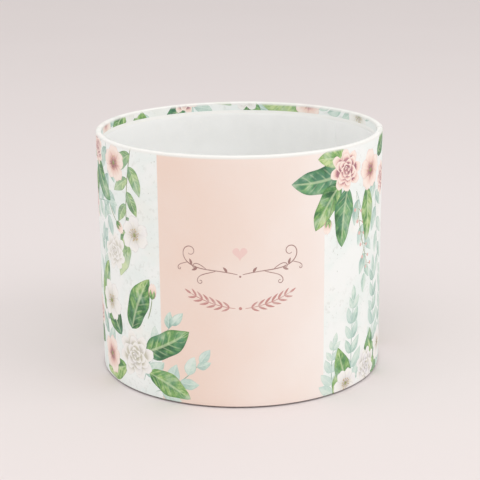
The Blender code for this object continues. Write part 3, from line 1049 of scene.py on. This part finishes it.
# A leaf's depth of colour is its tone, plus brush marks that follow its veins, lighter towards the tip
def leafPaint(name, look):
    paint = Paint(name)
    along, side, tone = paint.attribute("blade")
    _, wash, seed = paint.attribute("mark")
    breadth = abs(side)
    blot, wet, grain = paint.noise(190, 4), paint.noise(110, 3), paint.noise(wrapLook["grainScale"], 3)
    swept = along * look["veins"] - breadth * slant
    brush = paint.noise(1.7, 3, vector=paint.join(swept * 0.9 + seed * 31, breadth * 0.7, seed * 17))
    pool = (blot - 0.5) * 1.3 + (grain - 0.5) * 0.4 + (brush - 0.5) * look["brushing"]
    depth = tone + pool + side.fade(-0.12, 0.12) * 0.24 - 0.12 + (along - 0.4) * look["tipLift"]
    paint.colour = paint.ramp(depth, look["ramp"])
    paint.coat((wet + seed * 0.3).fade(0.6, 0.84), *look["cool"])
    vein = abs((swept + seed).fraction() - 0.5).fade(0.17, 0.05)
    paint.coat(vein * breadth.fade(1.0, 0.55) * blot.fade(0.35, 0.55), *look["vein"])
    paint.coat(breadth.fade(0.15, 0.05), look["vein"][0], midribShare)
    rim = breadth.fade(0.78, 0.98).atLeast(along.fade(0.92, 1.0))
    paint.coat(rim * blot.fade(0.3, 0.6), *look["edge"])
    faded = wash + wet.fade(0.54, 0.72) * 0.5 * along + blot.fade(0.6, 0.75) * 0.2
    paint.coat(faded.atMost(0.9), look["washed"])
    paint.bump(grain, inkPlan["relief"] * mm, 0.3)
    return finishInk(paint, grain)


# Petal inks: from the crease where the petal comes into view to a pale blade and a thin pooled edge
petalInk = {
    "ramp": ((0.0, ink(160, 104, 118)), (0.14, ink(208, 160, 160)), (0.34, ink(243, 216, 203)),
             (0.7, ink(252, 240, 230)), (1.0, ink(251, 237, 228))),
    "deep": (ink(236, 190, 186), 0.42),
    "edge": (ink(230, 194, 188), 0.55),
    "washed": ink(250, 240, 234),
}
paleInk = {
    "ramp": ((0.0, ink(202, 200, 182)), (0.2, ink(228, 226, 216)), (0.45, ink(244, 243, 237)),
             (1.0, ink(250, 250, 247))),
    "deep": (ink(222, 220, 234), 0.5),
    "edge": (ink(206, 204, 202), 0.55),
    "washed": ink(247, 247, 242),
}


# A petal's streaks are noise stretched along it, and its ramp follows the share of it that shows
def petalPaint(name, look):
    paint = Paint(name)
    along, side, tone = paint.attribute("blade")
    start, wash, seed = paint.attribute("mark")
    streak = paint.noise(1.6, 3, vector=paint.join(side * 3.2, along * 0.8, seed * 20))
    blot, grain = paint.noise(230, 4), paint.noise(wrapLook["grainScale"], 3)
    shown = (along - start) / (1 - start)
    paint.colour = paint.ramp(shown + (streak - 0.5) * 0.5 + (blot - 0.5) * 0.2, look["ramp"])
    paint.coat((blot.fade(0.38, 0.62) * (1 - shown * 0.7) * tone).atMost(1), *look["deep"])
    rim = abs(side).fade(0.80, 0.98).atLeast(shown.fade(0.86, 1.0))
    paint.coat(rim * streak.fade(0.3, 0.6), *look["edge"])
    paint.coat(wash, look["washed"])
    paint.bump(grain, inkPlan["relief"] * mm, 0.3)
    return finishInk(paint, grain)


# Lines take the hue that their patch carries, thinned in blots
def strokePaint(name, thin):
    paint = Paint(name)
    paint.colour = paint.node("ShaderNodeAttribute", {"attribute_name": "hue"}, {})[0]
    paint.coat(paint.noise(260, 3).fade(0.45, 0.75), thin, 0.35)
    return finishInk(paint, paint.noise(wrapLook["grainScale"], 3))


print("pressing the print onto the box")
setApart([patch for film in films.values() for patch in film])
pressFilm("printedLeaves", films["leaf"], leafPaint("leafInk", leafInk))
pressFilm("printedSprays", films["spray"], leafPaint("sprayInk", sprayInk))
pressFilm("printedPetals", films["petal"], petalPaint("petalInk", petalInk))
pressFilm("printedPaleFlowers", films["paleBloom"], petalPaint("paleInk", paleInk))
pressFilm("printedLines", films["stroke"], strokePaint("lineInk", ink(238, 226, 218)))


# Plain papers, of the lining and the base: matt, with soft fibre clouding
liningLook = {"colour": ink(247, 248, 247), "cloud": ink(240, 241, 239), "fibre": ink(250, 250, 247)}
coverLook = {"colour": ink(233, 231, 225), "cloud": ink(224, 221, 213), "fibre": ink(239, 238, 233)}


def plainPaint(name, look):
    paint = Paint(name, look["colour"])
    fibre = paint.noise(520, 4, rough=0.6)
    paint.coat(paint.noise(45, 5, rough=0.62).fade(0.36, 0.70), look["cloud"], 0.5)
    paint.coat(fibre.fade(0.52, 0.7), look["fibre"], 0.5)
    paint.finish(0.66 + 0.12 * fibre)
    paint.bump(fibre + 0.5 * paint.noise(2200, 2), 0.03 * mm, 0.4)
    return paint


lining = {
    "face": -floorLow.x + 0.6 * mm,                 # bore of the lower lining
    "topFace": -liningLow.x - 2 * paper - glue,     # bore where it lies on the turned-in wrap
    "corner": 0.8 * mm,
    "blend": 14 * mm,                               # height over which it eases in over the turn-in
    "press": 0.2 * mm,                              # its top edge pressed back by this
    "pressTall": 1.4 * mm,
    "flange": 10 * mm,
    "seam": 130.4,                                  # degrees from the front, towards the right
    "lapWidth": 9 * mm,
    "lapRise": 0.22 * mm,
    "lapSlope": 0.2,                                # share of the lap's width that comes down
    "cornerRows": 7,                                # rows and columns of the grid on each part of it
    "wallRows": 13,
    "blendRows": 12,
    "pressRows": 6,
    "lapColumns": 7,
    "wallColumns": 359,
}


# The lining's face: in from the flange on the floor, up the wall, eased over the turn-in by the smooth
# step t^2 (3 - 2t), and its top edge pressed back as t^2
def liningPath():
    plan = lining
    face, topFace, corner = plan["face"], plan["topFace"], plan["corner"]
    floor, stepTop = liningLow.z + paper, box["turnInEnd"] - glue
    low = np.linspace(floor + corner, stepTop - plan["blend"], plan["wallRows"] + 1)[1:]
    blend = np.linspace(0, 1, plan["blendRows"] + 1)[1:]
    soft = blend * blend * (3 - 2 * blend)
    press = np.linspace(0, 1, plan["pressRows"] + 1)[1:]
    return np.concatenate([
        profileRows(face - corner - plan["flange"], [floor]),
        arcRows((face - corner, floor + corner), corner, -90, 0, plan["cornerRows"]),
        profileRows(face, low),
        profileRows(face + (topFace - face) * soft, stepTop - plan["blend"] * (1 - blend)),
        profileRows(topFace + plan["press"] * press ** 2, liningHigh.z - plan["pressTall"] * (1 - press)),
    ])


# The lining is one closed thin sheet too, and its lap comes down to nothing at the floor
def makeLining():
    line = liningPath()
    length, outward = measured(line)
    seam, lap = math.radians(lining["seam"]), lining["lapWidth"] / lining["face"]
    slope = lining["lapSlope"] * lap
    turn = np.concatenate([
        [seam], np.linspace(seam, seam + lap - slope, lining["lapColumns"] + 1),
        [seam + lap - slope / 2, seam + lap],
        np.linspace(seam + lap, seam + math.tau, lining["wallColumns"] + 1)[1:],
    ])
    rise = lining["lapRise"] * np.clip((seam + lap - turn) / slope, 0, 1)
    rise[0] = 0
    aboveFloor = np.clip((line[:, 1] - floorHigh.z - glue) / glue, 0, 1)
    lift = doubled(rise * aboveFloor[:, None]) - np.repeat([0, paper], len(line))[:, None]
    rows = doubled(line)[:, None] - doubled(outward)[:, None] * lift[..., None]
    across, up = np.meshgrid(turn[::-1] * lining["face"], doubled(length))
    wall = closedSheet("wallLining", turned(rows[..., 0], rows[..., 1], turn)[:, ::-1], across, up)
    addPiece("wallLining", wall, plainPaint("liningPaper", liningLook), "white_lining_paper", "wall_lining")


discPlan = {
    "middle": 0.4 * mm,       # radius of the flat polygon at the middle of each side
    "rings": 14,
    "edgeRows": 7,
    "columns": 288,
}


# A disc of paper: a turned profile whose rings widen by one ratio outwards, with its edge rounded over
def paperDisc(name, low, high):
    radius, edge, plan = -low.x, (high.z - low.z) / 2, discPlan
    flat = np.geomspace(plan["middle"], radius - edge, plan["rings"])[:-1]
    radii, heights = np.concatenate([
        profileRows(flat, low.z),
        arcRows((radius - edge, low.z + edge), edge, -90, 90, plan["edgeRows"]),
        profileRows(flat[::-1], high.z),
    ]).T[..., None]
    turn = np.linspace(0, math.tau, plan["columns"] + 1)[:-1]
    points = np.stack(np.broadcast_arrays(radii * np.cos(turn), radii * np.sin(turn), heights), -1)
    rows, columns = points.shape[:2]
    faces = ringFaces(rows, columns, closed=False).tolist()
    faces += [list(range(columns))[::-1], list(range((rows - 1) * columns, rows * columns))]
    mesh = bpy.data.meshes.new(name)
    mesh.from_pydata(points.reshape(-1, 3), [], faces)
    return mesh


print("lining the wall, the floor and the base")
makeLining()
disc = paperDisc("floorLining", floorLow, floorHigh)
addPiece("floorLining", disc, plainPaint("floorPaper", liningLook), "white_floor_paper", "floor_lining")
disc = paperDisc("baseCover", coverLow, coverHigh)
addPiece("baseCover", disc, plainPaint("coverPaper", coverLook), "white_cover_paper", "base_cover")


# Greyboard and kraft tape, inside the paper: grey-brown pulp with dark and pale flecks
boardLook = {"pulp": ink(164, 156, 146), "dark": ink(120, 112, 104), "pale": ink(196, 190, 180)}
kraftLook = {"pulp": ink(174, 138, 100), "dark": ink(140, 106, 74), "pale": ink(200, 168, 130)}


def pulpPaint(name, look):
    paint = Paint(name, look["pulp"])
    flecks = paint.noise(700, 5, rough=0.7)
    paint.coat(paint.noise(60, 4).fade(0.3, 0.7), look["pale"], 0.6)
    paint.coat(flecks.fade(0.56, 0.68), look["dark"], 0.7)
    paint.finish(0.82 + 0.12 * flecks)
    paint.bump(flecks, 0.05 * mm, 0.5)
    return paint


for nodeName, paintName, look in (("wall_board", "wallGreyboard", boardLook),
                                  ("base_board", "baseGreyboard", boardLook),
                                  ("wall_joint_tape", "kraftTape", kraftLook)):
    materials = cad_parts[nodeName].data.materials
    materials.clear()
    materials.append(pulpPaint(paintName, look).material)


# Camera at the photograph's angle: its place, its downward tilt and roll in degrees, and its lens, in
# pixels of the photograph, which is 480 wide
cameraPlan = {
    "place": (-0.0001, -0.6697, 0.2575),
    "tiltDown": 15.99,
    "roll": -0.56,
    "focal": 1294.4,
    "pixels": 480,
    "sensor": 36,
}


def makeCamera():
    plan = cameraPlan
    data = bpy.data.cameras.new("camera")
    data.sensor_width = plan["sensor"]
    data.lens = plan["sensor"] * plan["focal"] / plan["pixels"]
    data.clip_start, data.clip_end = 0.01, 50
    bpy.context.scene.camera = addObject("camera", data)
    bpy.context.scene.camera.matrix_world = (
        Matrix.Translation(plan["place"])
        @ Matrix.Rotation(math.radians(90 - plan["tiltDown"]), 4, "X")
        @ Matrix.Rotation(math.radians(plan["roll"]), 4, "Z")
    )


# The studio: three area lamps aimed at the box's middle, a pale floor and a pale world
studio = {
    "floor": ink(226, 219, 218),
    "background": ink(246, 243, 242),
    "worldStrength": 0.92,
    "aim": (0, 0, 0.06),
    # Each lamp's name, place, size, watts and tint
    "lamps": (
        ("keyLight", (1.3, -0.6, 1.2), (1.1, 1.1), 6.6, (1.0, 0.99, 0.975)),
        ("fillLight", (-1.3, -0.3, 0.8), (1.2, 1.0), 1.6, (0.97, 1.0, 0.99)),
        ("topLight", (-0.1, -0.6, 1.4), (1.3, 1.3), 4, (1.0, 1.0, 1.0)),
    ),
}


def makeStudio():
    for name, place, size, watts, tint in studio["lamps"]:
        data = bpy.data.lights.new(name, "AREA")
        data.shape = "RECTANGLE"
        data.size, data.size_y = size
        data.energy, data.color = watts, tint
        lamp = addObject(name, data)
        lamp.location = place
        lamp.rotation_euler = (Vector(studio["aim"]) - Vector(place)).to_track_quat("-Z", "Y").to_euler()
    paint = Paint("floorPaint", studio["floor"])
    paint.coat(paint.noise(3, 2), studio["background"], 0.1)
    paint.finish(0.9)
    bpy.ops.mesh.primitive_circle_add(vertices=96, radius=5, fill_type="NGON")
    floor = bpy.context.object
    floor.name = "studioFloor"
    floor.data.materials.append(paint.material)
    world = bpy.data.worlds.new("studioWorld")
    bpy.context.scene.world = world
    world.use_nodes = True
    back = world.node_tree.nodes["Background"]
    back.inputs["Color"].default_value = studio["background"]
    back.inputs["Strength"].default_value = studio["worldStrength"]


print("setting the camera and the studio")
makeCamera()
makeStudio()
bpy.context.scene.view_settings.view_transform = "Standard"
